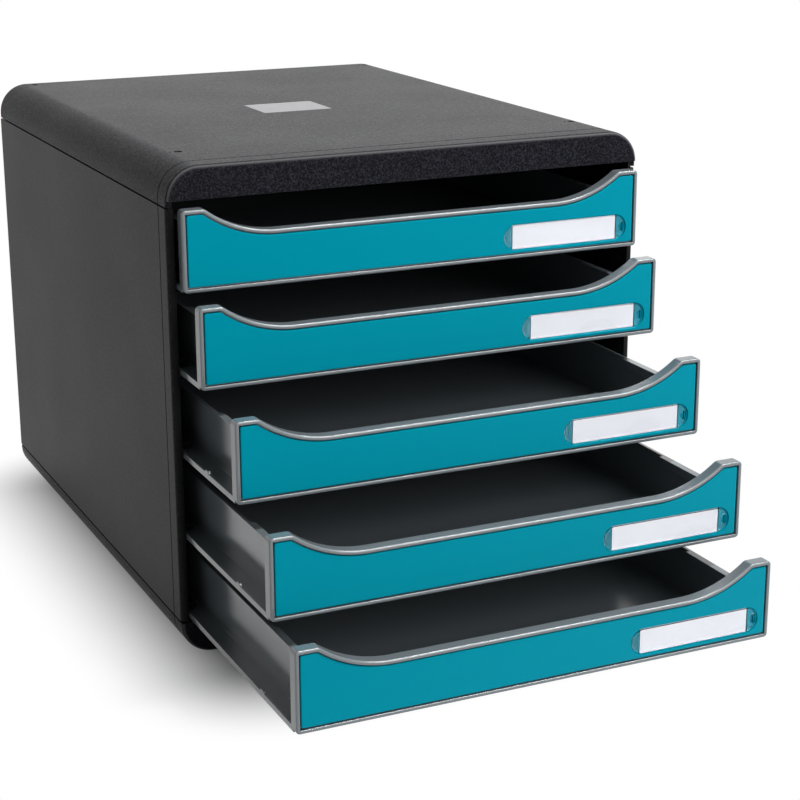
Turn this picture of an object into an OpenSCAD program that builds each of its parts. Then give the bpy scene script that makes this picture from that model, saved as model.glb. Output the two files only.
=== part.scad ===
// Desk file box with five stacked drawers, each pulled out a little further than the one above.
// The front faces -Y, X runs across the width and +Z is up.
// The origin is on the desk, at the middle of the cabinet's footprint.

/* [Cabinet] */
// Width over the two side panels
cab_w = 278; // [277.5:0.5:284]
// Depth from the front face to the rear edge
cab_d = 347; // [344:1:360]
// Height with the feet
cab_h = 271; // [271:0.5:275]
// Height of the top cover at its sides
top_cap_h = 20.8; // [20:0.1:21]
// Height of the base cover
base_cap_h = 18.6; // [18:0.1:19.6]
// Radius of the four long edges
edge_r = 18; // [16:0.5:18]
// Wall thickness of the covers
skin_t = 2; // [1.8:0.1:2.2]
// Radius of the covers' front edge
front_edge_r = 2.6; // [1:0.1:3]
// Distance of the fine groove behind the front face
groove_back = 14.3; // [10:0.1:18]

/* [Drawers] */
// Width of a drawer's front
front_w = 268.4; // [266:0.1:268.6]
// Height of a drawer's front
front_h = 43; // [41:0.1:43.2]
// Depth of the moulded frame round the front
frame_d = 7; // [6:0.1:7.2]
// Length of a drawer from its front to its rear wall
drawer_l = 336; // [320:1:336]
// Half the length of the scoop's straight middle
scoop_half = 82; // [70:1:84]
// Radius of the scoop's two sweeping ends, which also sets how deep it is
scoop_r = 64.5; // [56:0.5:70]
// Height of a drawer's side walls
wall_h = 30.2; // [28:0.1:33]
// Distance of a side wall's outer face from the middle
wall_x = 123.7; // [122:0.1:124]
// Distance from shut to pulled right out
travel = 230; // [180:1:235]

/* [Open positions] */
// Top drawer, distance pulled out
open_1 = 9; // [0:0.1:180]
// Second drawer, distance pulled out
open_2 = 31.4; // [0:0.1:180]
// Third drawer, distance pulled out
open_3 = 79.3; // [0:0.1:180]
// Fourth drawer, distance pulled out
open_4 = 121.9; // [0:0.1:180]
// Bottom drawer, distance pulled out
open_5 = 152.1; // [0:0.1:180]

/* [Label] */
// Length of the label window
label_l = 77; // [60:0.5:80]
// Height of the label window
label_h = 14; // [10:0.5:14.5]
// Length of the paper card behind it
card_l = 65; // [50:0.5:66]

/* [Top sockets] */
// Socket spacing across the width
socket_dx = 238.6; // [236:0.2:239]
// Socket spacing along the depth
socket_dy = 294; // [280:1:294]
// Radius of a socket
socket_r = 2.3; // [2:0.1:2.6]

/* [Hidden] */
DRAWERS = [1, 2, 3, 4, 5];

$fn = 64;
eps = 0.01;

black = [0.16, 0.16, 0.17];
charcoal = [0.23, 0.23, 0.24];
grey = [0.47, 0.49, 0.51];
teal = [0.0, 0.53, 0.6];
silver = [0.72, 0.72, 0.73];
clear = [0.8, 0.9, 0.92, 0.45];
paper = [0.92, 0.91, 0.94];
rubber = [0.1, 0.1, 0.1];

// Cabinet, derived
foot_h = 3;
half_w = cab_w / 2;
half_d = cab_d / 2;
cap_low = cab_h - top_cap_h;
base_high = foot_h + base_cap_h;
corner_x = half_w - edge_r;
corner_z = cab_h - edge_r;
groove_w = 1;
groove_depth = 0.6;
front_wall_t = 3;
front_rise = 3.2;
wall_inset = max(skin_t, front_edge_r);
rear_edge_r = 1;

// Parting line between the covers and the side panels
reveal = 1;
panel_low = base_high + reveal;
panel_high = cap_low - reveal;
bevel_h = 1.7;
panel_t = 3;
post_t = 4;
post_r = 3;
panel_front = -half_d + 1.5;
post_end = -half_d + groove_back;

// Tongue of a side panel, gripped by a long rib in each cover
tongue_x = half_w - 5.5;
tongue_t = 2;
tongue_h = 7;
tongue_root = 4;
tongue_front = post_end;
grip_t = 2;
gusset_t = 3;
gusset_pitch = 60;

// Back panel and the seat that it rests against
back_t = 2;
back_front = half_d - 4;
back_inset = 3.1;
seat_t = 2;
seat_w = 5;

// Sockets and feet
socket_shift = 2.2;
socket_y = 18;
socket_depth = 8;
boss_r = 4.2;
dot_r = 0.75;
dot_depth = 1;
foot_r = 6;
foot_round = 0.8;
stem_r = 2.2;
stem_h = 6;

// Plain plate on the top
plate_w = 44;
plate_l = 37;
plate_x = -4;
plate_y = -2;
plate_t = 0.5;
plate_corner_r = 1.5;
plate_sunk = 0.6;

// Drawer stack
opens = [open_1, open_2, open_3, open_4, open_5];
stack_gap = 2.2;
stack_spare = 2.8;
pitch = (cap_low + front_rise - base_high - stack_spare) / len(DRAWERS);
half_front = front_w / 2;
function drawer_z(i) = base_high + stack_gap + (len(DRAWERS) - i) * pitch;
function drawer_y(i) = -half_d - opens[i - 1];

// Drawer front: rim, web and insert
rim_t = 2;
rim_round = 0.9;
web_t = 2;
shoulder_r = 4;
front_corner_r = 2.2;
least_corner_r = 1;
shoulder_short = 0.1;
insert_gap = 0.7;
insert_y = 0.4;
insert_t = 2.5;
insert_bevel = 0.5;
insert_rim = 0.9;
insert_field = 0.7;
web_y = insert_y + insert_t;

// Tray
tray_t = 2;
floor_round = 2;
brace_w = 4.3;
brace_h = 5;
brace_end = 58;

// Flange that slides in the side panels
flange_t = 2;
lip_w = 1.8;
lip_h = 3.3;
bump_y = 42.2;
bump_l = 6.4;
bump_h = 1.3;
stop_lug_l = 5;
stop_lug_h = 1.5;
stop_lug_x = 126;
stop_lug_w = 5;

// Rails inside the side panels
slide_gap = 0.3;
rail_x = 126;
rail_t = 2.2;
guide_x = 128.2;
guide_z = 5.2;
guide_t = 1.8;
rail_front = -half_d + frame_d + 0.5;
rail_rear = back_front - seat_t - 1;
stop_tab_l = 4;
stop_tab_w = 2.6;
stop_lug_y = travel + half_d + rail_front + stop_tab_l + slide_gap;

// Label
label_end_gap = 7;
label_z = 4.7;
label_x = half_front - label_end_gap - label_l / 2;
label_mid_z = label_z + label_h / 2;
window_gap = 0.2;
window_y = 0.3;
window_t = 1.1;
card_t = 0.35;
card_x = -0.1;
card_gap = 0.5;
card_room = 0.1;
pocket_depth = window_y + window_t + card_room + card_t;
notch_r = 3.2;
notch_depth = 0.6;

// ---------------------------------------------------------------- helpers

// Extrudes a drawing of the front view (x, z) from y0 back to y1
module along_y(y0, y1) {
    translate([0, y1, 0])
        rotate([90, 0, 0])
            linear_extrude(y1 - y0)
                children();
}

// Rectangle between two corners
module rect(x0, y0, x1, y1) {
    translate([x0, y0])
        square([x1 - x0, y1 - y0]);
}

// Rectangle with round corners, centred
module round_rect(w, h, r) {
    union() {
        square([w - 2 * r, h], center = true);
        square([w, h - 2 * r], center = true);
        for (x = [-1, 1], y = [-1, 1])
            translate([x * (w / 2 - r), y * (h / 2 - r)])
                circle(r);
    }
}

// The shell's front view, drawn in by d
module shell_outline(d) {
    translate([0, (cab_h + foot_h) / 2])
        round_rect(cab_w - 2 * d, cab_h - foot_h - 2 * d, edge_r - d);
}

// Half turn about the shell's centre line, which takes the top cover to the base
module half_turn() {
    translate([0, 0, cab_h + foot_h])
        rotate([0, 180, 0])
            children();
}

module both_sides() {
    children();
    mirror([1, 0, 0])
        children();
}

// ---------------------------------------------------------------- covers

// Section of a cover's skin: outward distance from the corner's centre, and distance to the front
module skin_section() {
    difference() {
        union() {
            rect(edge_r - skin_t, -half_d, edge_r, half_d);
            rect(edge_r - wall_inset, half_d - front_wall_t, edge_r, half_d);
        }
        rect(edge_r - groove_depth, half_d - groove_back - groove_w / 2,
            edge_r + 1, half_d - groove_back + groove_w / 2);
        difference() {
            rect(edge_r - front_edge_r, half_d - front_edge_r, edge_r + 1, half_d + 1);
            translate([edge_r - front_edge_r, half_d - front_edge_r])
                circle(front_edge_r);
        }
        difference() {
            rect(edge_r - rear_edge_r, -half_d - 1, edge_r + 1, -half_d + rear_edge_r);
            translate([edge_r - rear_edge_r, -half_d + rear_edge_r])
                circle(rear_edge_r);
        }
    }
}

// The skin swept over the flat top, round the long edges and down the skirts to their edge at low
module cover_skin(low) {
    translate([-corner_x, 0, corner_z])
        rotate(a = 180, v = [1, 0, 1])
            linear_extrude(2 * corner_x)
                skin_section();
    both_sides() {
        translate([corner_x, 0, corner_z])
            rotate([90, 0, 0])
                rotate_extrude(angle = 90, $fn = 96)
                    skin_section();
        translate([corner_x, 0, corner_z])
            rotate([180, 0, 0])
                linear_extrude(corner_z - low)
                    skin_section();
    }
}

// Inside of a cover, cut off at its lower edge
module cover_inside(d, low) {
    intersection() {
        shell_outline(d);
        rect(-half_w, low, half_w, cab_h);
    }
}

module cover_ribs(low) {
    // long ribs that grip the side panels' tongues
    both_sides()
        along_y(tongue_front, back_front - seat_t)
            intersection() {
                cover_inside(skin_t / 2, low);
                rect(tongue_x - grip_t, low, tongue_x, cab_h);
            }
    // gussets that the tongues' edges stop against
    both_sides()
        for (y = [tongue_front : gusset_pitch : back_front - gusset_pitch / 2])
            along_y(y, y + gusset_t)
                intersection() {
                    cover_inside(skin_t / 2, low);
                    rect(tongue_x - grip_t, low - reveal + tongue_h, half_w, cab_h);
                }
    // seat for the back panel
    along_y(back_front - seat_t, back_front)
        difference() {
            cover_inside(skin_t / 2, low);
            rect(-half_w + seat_w, 0, half_w - seat_w, cab_h - skin_t - seat_w);
        }
}

// A cover moulding at the top, its sides reaching down to low
module cover(low) {
    difference() {
        union() {
            cover_skin(low);
            along_y(-half_d, -half_d + front_wall_t)
                cover_inside(wall_inset, low);
            cover_ribs(low);
            for (x = [-1, 1], y = [-1, 1])
                translate([x * socket_dx / 2 + socket_shift, y * socket_dy / 2 + socket_y,
                    cab_h - socket_depth - 1])
                    cylinder(r = boss_r, h = socket_depth);
        }
        for (x = [-1, 1], y = [-1, 1]) {
            translate([x * socket_dx / 2 + socket_shift, y * socket_dy / 2 + socket_y, cab_h - socket_depth])
                cylinder(r = socket_r, h = socket_depth + 1);
            translate([x * socket_dx / 2 - socket_shift, y * socket_dy / 2 + socket_y, cab_h - dot_depth])
                cylinder(r = dot_r, h = dot_depth + 1, $fn = 24);
        }
    }
}

module top_cover() {
    color(black)
        difference() {
            cover(cap_low);
            // the front wall ends a little above the sides
            translate([-half_w - 1, -half_d - 1, cap_low - 1])
                cube([cab_w + 2, front_wall_t + 1, front_rise + 1]);
            translate([plate_x, plate_y, cab_h - plate_sunk])
                linear_extrude(plate_sunk + 1)
                    round_rect(plate_w, plate_l, plate_corner_r);
        }
}

module base_cover() {
    color(black)
        half_turn()
            cover(cab_h - base_cap_h);
}

// Bare metal plate, sunk a little into the top cover
module top_plate() {
    color(silver)
        translate([plate_x, plate_y, cab_h - plate_sunk])
            linear_extrude(plate_t)
                round_rect(plate_w, plate_l, plate_corner_r);
}

// Four equal rubber feet, each with a stem in a socket of the base cover
module feet() {
    color(rubber)
        for (x = [-1, 1], y = [-1, 1])
            translate([x * socket_dx / 2 - socket_shift, y * socket_dy / 2 + socket_y, 0])
                rotate_extrude()
                    union() {
                        rect(0, 0, foot_r - foot_round, foot_h);
                        rect(0, foot_round, foot_r, foot_h);
                        translate([foot_r - foot_round, foot_round])
                            intersection() {
                                circle(foot_round, $fn = 32);
                                rect(0, -foot_round, foot_round, 0);
                            }
                        rect(0, foot_h - eps, stem_r, foot_h + stem_h);
                    }
}

// ---------------------------------------------------------------- side panels

// Rails of one drawer, in the front view: support below its flange, guide above it
module rail_section(i) {
    z = drawer_z(i);
    rail_low = max(z - slide_gap - rail_t, panel_low);
    rect(rail_x, rail_low, half_w - skin_t, z - slide_gap);
    rect(guide_x, z + guide_z, half_w - skin_t, z + guide_z + guide_t);
}

// Outer wall with bevelled long edges, thickened into a tongue at the top and bottom
module panel_section() {
    polygon([
        [half_w - panel_t, panel_low],
        [half_w - skin_t, panel_low],
        [half_w, panel_low + bevel_h],
        [half_w, panel_high - bevel_h],
        [half_w - skin_t, panel_high],
        [half_w - panel_t, panel_high]
    ]);
}

// The lower tongue's root ends level with the bottom drawer's rail
module tongue_section() {
    rect(tongue_x, panel_high - tongue_root, half_w - skin_t, panel_high);
    rect(tongue_x, panel_high - eps, tongue_x + tongue_t, panel_high + tongue_h);
    rect(tongue_x, panel_low, half_w - skin_t, drawer_z(len(DRAWERS)) - slide_gap);
    rect(tongue_x, panel_low - tongue_h, tongue_x + tongue_t, panel_low + eps);
}

module side_panel() {
    difference() {
        union() {
            along_y(panel_front + post_r, half_d)
                panel_section();
            along_y(tongue_front, back_front - seat_t)
                tongue_section();
            // front post, with a round outer corner
            intersection() {
                along_y(panel_front - 1, post_end)
                    union() {
                        panel_section();
                        rect(half_w - post_t, panel_low, half_w - skin_t, panel_high);
                    }
                translate([0, 0, panel_low - 1])
                    linear_extrude(panel_high - panel_low + 2)
                        union() {
                            rect(0, panel_front, half_w - post_r, post_end + 1);
                            rect(0, panel_front + post_r, half_w, post_end + 1);
                            translate([half_w - post_r, panel_front + post_r])
                                circle(post_r);
                        }
            }
            // rails for the five drawers
            along_y(rail_front, rail_rear)
                for (i = DRAWERS)
                    rail_section(i);
            // tabs that stop a drawer's lugs when it is pulled right out
            for (i = DRAWERS)
                translate([guide_x, rail_front, drawer_z(i) + lip_h + slide_gap])
                    cube([stop_tab_w, stop_tab_l, guide_z - lip_h]);
            // seat for the back panel
            along_y(back_front - seat_t, back_front)
                rect(half_w - panel_t - seat_w, panel_low, half_w - panel_t + eps, panel_high);
        }
        // fine groove behind the front face
        translate([half_w - groove_depth, -half_d + groove_back - groove_w / 2, 0])
            cube([groove_depth + 1, groove_w, cab_h]);
    }
}

module left_side_panel() {
    color(charcoal)
        mirror([1, 0, 0])
            side_panel();
}

module right_side_panel() {
    color(charcoal)
        side_panel();
}

// Flat sheet with a shallow sunk field on its outer face
module back_panel() {
    field_inset = 14;
    field_depth = 0.6;
    color(black)
        difference() {
            along_y(back_front, back_front + back_t)
                shell_outline(back_inset);
            along_y(back_front + back_t - field_depth, back_front + back_t + 1)
                shell_outline(back_inset + field_inset);
        }
}

// ---------------------------------------------------------------- drawer fronts

// A scoop's sweeping end and the small round shoulder above it meet on the line between their centres.
// That line slopes 3 across to 4 down, so both centres are at round numbers and the curves meet exactly.
slope = [3 / 5, 4 / 5];
shoulder_x = scoop_half + slope[0] * (scoop_r + shoulder_r);
shoulder_z = front_h - shoulder_r;
sweep_z = shoulder_z + slope[1] * (scoop_r + shoulder_r);
scoop_z = sweep_z - scoop_r;

// Radius of the front's outer corners once drawn in by d
function corner_of(d) = max(front_corner_r - d, least_corner_r);

// One half of the field inside the rim, drawn in by d, with its foot at height 0.
// Its shoulder stops a little short, inside the rim, so that it doesn't just touch the scoop's curve.
module half_front_outline(d) {
    rc = corner_of(d);
    outer_x = half_front - d;
    rect(-eps, d, scoop_half, scoop_z - d);
    difference() {
        polygon([
            [scoop_half, d],
            [scoop_half, sweep_z],
            [shoulder_x, shoulder_z],
            [shoulder_x, d]
        ]);
        translate([scoop_half, sweep_z])
            circle(scoop_r + d, $fn = 360);
    }
    translate([shoulder_x, shoulder_z])
        circle(shoulder_r - d - shoulder_short);
    rect(shoulder_x - eps, d, outer_x - rc, front_h - d);
    rect(shoulder_x - eps, d + rc, outer_x, front_h - d - rc);
    translate([outer_x - rc, d + rc])
        circle(rc);
    translate([outer_x - rc, front_h - d - rc])
        circle(rc);
}

module front_outline(d) {
    union() {
        half_front_outline(d);
        mirror([1, 0])
            half_front_outline(d);
    }
}

// A straight run of an edge section, from a point of the front view in a direction
module run(x, z, direction, length) {
    translate([x, 0, z])
        rotate([0, 90 - direction, 0])
            linear_extrude(length)
                children();
}

// A quarter turn of an edge section round an outer corner's centre
module turn_corner(x, z, r, start) {
    translate([x, 0, z])
        rotate([0, -start, 0])
            rotate([90, 0, 0])
                rotate_extrude(angle = 90)
                    intersection() {
                        translate([r, 0])
                            rotate(180)
                                children();
                        rect(0, -2 * frame_d, r + 1, frame_d);
                    }
}

// The part of a ring between the line that points straight up or down from its centre and the slope
module sector(x, z, reach, up) {
    intersection() {
        translate([x, 0, z])
            rotate([90, 0, 0])
                children();
        along_y(-frame_d, 2 * frame_d)
            polygon([
                [x, z],
                [x, z + up * reach],
                [x - up * reach * slope[0], z + up * reach * slope[1]]
            ]);
    }
}

// The scoop's sweeping end
module turn_sweep(r) {
    sector(scoop_half, sweep_z, 2 * scoop_r, -1)
        rotate_extrude($fn = 360)
            translate([r, 0])
                mirror([0, 1])
                    children();
}

// The small round shoulder above it
module turn_shoulder(r) {
    sector(shoulder_x, shoulder_z, 2 * shoulder_r, 1)
        rotate_extrude()
            translate([r, 0])
                rotate(180)
                    children();
}

// Sweeps an edge section (inward distance, distance back) round the front's outline, drawn in by d
module sweep_edge(d) {
    rc = corner_of(d);
    outer_x = half_front - d;
    both_sides() {
        run(0, scoop_z - d, 0, scoop_half)
            children();
        turn_sweep(scoop_r + d)
            children();
        turn_shoulder(shoulder_r - d)
            children();
        run(shoulder_x, front_h - d, 0, outer_x - rc - shoulder_x)
            children();
        turn_corner(outer_x - rc, front_h - d - rc, rc, 0)
            children();
        run(outer_x, front_h - d - rc, -90, front_h - 2 * (d + rc))
            children();
        turn_corner(outer_x - rc, d + rc, rc, -90)
            children();
        run(outer_x - rc, d, 180, outer_x - rc)
            children();
    }
}

// Section of the moulded rim, with a round front edge
module rim_section() {
    union() {
        rect(0, rim_round, rim_t, frame_d);
        rect(rim_round, 0, rim_t - 0.3, frame_d);
        translate([rim_round, rim_round])
            circle(rim_round, $fn = 32);
    }
}

// Section of the insert's edge, bevelled at the front
module insert_section() {
    polygon([
        [0, insert_bevel],
        [insert_bevel, 0],
        [insert_rim, 0],
        [insert_rim, insert_t],
        [0, insert_t]
    ]);
}

// Slot with fully round ends, drawn in by gap
module label_outline(gap) {
    translate([label_x, label_mid_z])
        union() {
            square([label_l - label_h, label_h - 2 * gap], center = true);
            for (x = [-1, 1])
                translate([x * (label_l - label_h) / 2, 0])
                    circle(label_h / 2 - gap);
        }
}

// The card's place in the window, drawn out by gap at its ends
module card_outline(gap) {
    translate([label_x + card_x, label_mid_z])
        square([card_l + 2 * gap, label_h - 2 * window_gap], center = true);
}

module place_drawer(i) {
    translate([0, drawer_y(i), drawer_z(i)])
        children();
}

// ---------------------------------------------------------------- drawer pieces

// Half of the tray's cross-section: floor, side wall and the flange with its raised lip
module half_tray_section() {
    rect(-eps, 0, half_front, flange_t);
    rect(wall_x - tray_t, 0, wall_x, wall_h);
    rect(half_front - lip_w, 0, half_front, lip_h);
    difference() {
        rect(wall_x - tray_t - floor_round, flange_t - eps, wall_x - tray_t + eps, flange_t + floor_round);
        translate([wall_x - tray_t - floor_round, flange_t + floor_round])
            circle(floor_round);
    }
}

// Small rise on the flange's lip that holds the drawer shut, rounded in the side view
module bump() {
    rise_r = (pow(bump_l / 2, 2) + pow(bump_h, 2)) / (2 * bump_h);
    intersection() {
        translate([half_front - lip_w, bump_y + bump_l / 2, lip_h + bump_h - rise_r])
            rotate([0, 90, 0])
                cylinder(r = rise_r, h = lip_w);
        translate([half_front - lip_w, bump_y, lip_h - 1])
            cube([lip_w, bump_l, bump_h + 1]);
    }
}

module drawer_tray(i) {
    color(grey)
        place_drawer(i)
            union() {
                sweep_edge(0)
                    rim_section();
                along_y(web_y, web_y + web_t)
                    front_outline(rim_t / 2);
                along_y(web_y + web_t - eps, drawer_l)
                    union() {
                        half_tray_section();
                        mirror([1, 0])
                            half_tray_section();
                    }
                // rear wall
                along_y(drawer_l - tray_t, drawer_l)
                    rect(-wall_x, 0, wall_x, wall_h);
                both_sides() {
                    // thick top edge of the side wall next to the front
                    translate([wall_x - brace_w, web_y, wall_h - brace_h])
                        cube([brace_w, brace_end - web_y, brace_h]);
                    bump();
                    // lug that meets the side panel's tab at full travel
                    translate([stop_lug_x, stop_lug_y, flange_t - eps])
                        cube([stop_lug_w, stop_lug_l, lip_h + stop_lug_h - flange_t + eps]);
                }
            }
}

module drawer_fascia(i) {
    inset = rim_t + insert_gap;
    color(teal)
        place_drawer(i)
            difference() {
                union() {
                    translate([0, insert_y, 0])
                        sweep_edge(inset)
                            insert_section();
                    along_y(insert_y, insert_y + insert_t)
                        front_outline(inset + insert_field);
                }
                along_y(0, insert_y + window_y + window_t)
                    label_outline(0);
                along_y(0, insert_y + pocket_depth)
                    card_outline(card_gap);
            }
}

// Clear cover of the label, with a finger notch at its right end
module drawer_label_window(i) {
    color(clear)
        place_drawer(i)
            difference() {
                along_y(insert_y + window_y, insert_y + window_y + window_t)
                    label_outline(window_gap);
                translate([label_x + label_l / 2 - notch_r, 0, label_mid_z])
                    rotate([-90, 0, 0])
                        cylinder(r = notch_r, h = insert_y + window_y + notch_depth);
            }
}

module drawer_label_card(i) {
    card_y = insert_y + pocket_depth - card_t;
    color(paper)
        place_drawer(i)
            along_y(card_y, card_y + card_t)
                card_outline(0);
}

// ---------------------------------------------------------------- assembly

top_cover();
base_cover();
left_side_panel();
right_side_panel();
back_panel();
top_plate();
feet();
for (i = DRAWERS) {
    drawer_tray(i);
    drawer_fascia(i);
    drawer_label_window(i);
    drawer_label_card(i);
}
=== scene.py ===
"""Desk file box with five sliding drawers: its visual model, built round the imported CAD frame.

Sizes are in millimetres and become metres when a piece is made. The origin is on the desk at the middle
of the cabinet's footprint, the drawers open towards -Y and +Z is up.
"""

import logging
import math
from collections.abc import Callable, Sequence
from dataclasses import dataclass, field
from enum import Enum
from typing import Self

import bmesh
import bpy
from mathutils import Matrix, Vector


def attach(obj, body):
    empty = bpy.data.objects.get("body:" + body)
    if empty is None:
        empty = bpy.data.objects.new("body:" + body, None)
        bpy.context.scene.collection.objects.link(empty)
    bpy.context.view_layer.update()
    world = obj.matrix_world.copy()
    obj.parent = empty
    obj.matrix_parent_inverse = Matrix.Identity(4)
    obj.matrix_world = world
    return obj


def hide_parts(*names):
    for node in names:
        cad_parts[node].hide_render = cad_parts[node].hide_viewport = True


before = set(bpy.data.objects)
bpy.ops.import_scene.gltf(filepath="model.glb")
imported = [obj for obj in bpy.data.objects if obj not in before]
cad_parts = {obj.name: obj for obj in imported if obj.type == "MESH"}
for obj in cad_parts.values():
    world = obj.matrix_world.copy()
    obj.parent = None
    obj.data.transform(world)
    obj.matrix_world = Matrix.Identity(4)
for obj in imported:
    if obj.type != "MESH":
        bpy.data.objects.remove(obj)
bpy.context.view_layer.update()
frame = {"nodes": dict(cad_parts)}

MM = 0.001
CLOSE = 0.02
MERGE = 0.002
SEAM = 0.003
MIDDLE = (0.3, 0.7)
COLOUR_OUT = 2
SMOOTH_ANGLE = 40
RAMP = (0.6, 0.8)
SWEEP_STEPS = 20
CORNER_STEPS = 6
LOG = logging.getLogger("file_box")

Point = tuple[float, float, float]
Pair = tuple[float, float]
Colour = tuple[float, float, float, float]
Section = list[Pair]
Node = bpy.types.Node


# ---- finishes


def linear(*screen: int) -> Colour:
    """Turns red, green and blue as written for a screen, 0 to 255, into the shader's linear values."""
    shares = [value / 255 for value in screen]
    return tuple(x / 12.92 if x <= 0.04045 else ((x + 0.055) / 1.055) ** 2.4 for x in shares) + (1.0,)


class Nodes:
    """A node tree, with short ways to add and join nodes."""

    def __init__(self, owner: bpy.types.Material | bpy.types.World) -> None:
        """Starts with an empty tree."""
        owner.use_nodes = True
        self.tree = owner.node_tree
        self.tree.nodes.clear()

    def add(self, kind: str, inputs: dict[str | int, object] | None = None, **settings: object) -> Node:
        """Adds a node. Args: kind: its type; inputs: constants; settings: properties. Returns: the node."""
        node = self.tree.nodes.new(kind)
        for key, value in settings.items():
            setattr(node, key, value)
        for key, value in (inputs or {}).items():
            node.inputs[key].default_value = value
        return node

    def join(self, source: Node, out: str | int, target: Node, into: str | int) -> None:
        """Links an output to an input."""
        self.tree.links.new(source.outputs[out], target.inputs[into])

    def ranged(self, source: Node, out: str, start: float = 0.0, end: float = 1.0,
               low: float = 0.0, high: float = 1.0) -> Node:
        """Maps start..end of an output onto low..high. Returns: the Map Range node."""
        node = self.add("ShaderNodeMapRange",
                        {"From Min": start, "From Max": end, "To Min": low, "To Max": high})
        self.join(source, out, node, "Value")
        return node

    def math(self, operation: str, source: Node, out: str) -> Node:
        """A Math node on an output. Returns: the node."""
        node = self.add("ShaderNodeMath", operation=operation)
        self.join(source, out, node, 0)
        return node

    def seen(self) -> Node:
        """1 for camera, glossy and transmission rays, else 0. Returns: the Math node."""
        paths = self.add("ShaderNodeLightPath")
        glossy = self.math("MAXIMUM", paths, "Is Camera Ray")
        self.join(paths, "Is Glossy Ray", glossy, 1)
        clear = self.math("MAXIMUM", glossy, "Value")
        self.join(paths, "Is Transmission Ray", clear, 1)
        return clear


class Surface(Nodes):
    """A material's tree, with textures on Object coordinates."""

    def __init__(self, name: str) -> None:
        """Starts with a bare surface shader."""
        super().__init__(bpy.data.materials.new(name))
        self.shader = self.add("ShaderNodeBsdfPrincipled")
        self.join(self.shader, "BSDF", self.add("ShaderNodeOutputMaterial"), "Surface")
        self.place = self.add("ShaderNodeTexCoord")

    def fix(self, name: str, value: float | Colour) -> None:
        """Sets one of the shader's constants."""
        self.shader.inputs[name].default_value = value

    def noise(self, scale: float, detail: float, stretch: Point = (1, 1, 1)) -> Node:
        """Noise. Args: scale: cells a metre; detail: octaves; stretch: per axis. Returns: its node."""
        mapping = self.add("ShaderNodeMapping", {"Scale": stretch})
        self.join(self.place, "Object", mapping, "Vector")
        noise = self.add("ShaderNodeTexNoise", {"Scale": scale, "Detail": detail})
        self.join(mapping, "Vector", noise, "Vector")
        return noise

    def cells(self, scale: float, smoothness: float = 0.6) -> Node:
        """Rounded cells, as of a leather-like mould grain. Returns: their node."""
        inputs = {"Scale": scale, "Smoothness": smoothness}
        cells = self.add("ShaderNodeTexVoronoi", inputs, feature="SMOOTH_F1")
        self.join(self.place, "Object", cells, "Vector")
        return cells

    def blended(self, factor: Node, first: Colour | Node, second: Colour) -> Node:
        """Mixes two colours by a Map Range node. Returns: the Mix node."""
        mix = self.add("ShaderNodeMix", data_type="RGBA")
        self.join(factor, "Result", mix, 0)
        colours = [socket for socket in mix.inputs if socket.type == "RGBA"]
        if isinstance(first, Node):
            self.tree.links.new(first.outputs[COLOUR_OUT], colours[0])
        else:
            colours[0].default_value = first
        colours[1].default_value = second
        return mix

    def band(self, place: float, half: float, core: float = 0.0) -> Node:
        """1 at a place along Y, in metres, falling from core to 0 at half. Returns: the Map Range node."""
        split = self.add("ShaderNodeSeparateXYZ")
        self.join(self.place, "Object", split, "Vector")
        away = self.math("SUBTRACT", split, "Y")
        away.inputs[1].default_value = place
        return self.ranged(self.math("ABSOLUTE", away, "Value"), "Value", core, half, 1.0, 0.0)

    def bump(self, height: Node, out: str, depth: float, over: Node | None = None) -> Node:
        """A bump of a height in metres, laid over another one. Returns: the Bump node."""
        node = self.add("ShaderNodeBump", {"Distance": depth, "Strength": 1.0})
        self.join(height, out, node, "Height")
        if over is not None:
            self.join(over, "Normal", node, "Normal")
        return node


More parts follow.
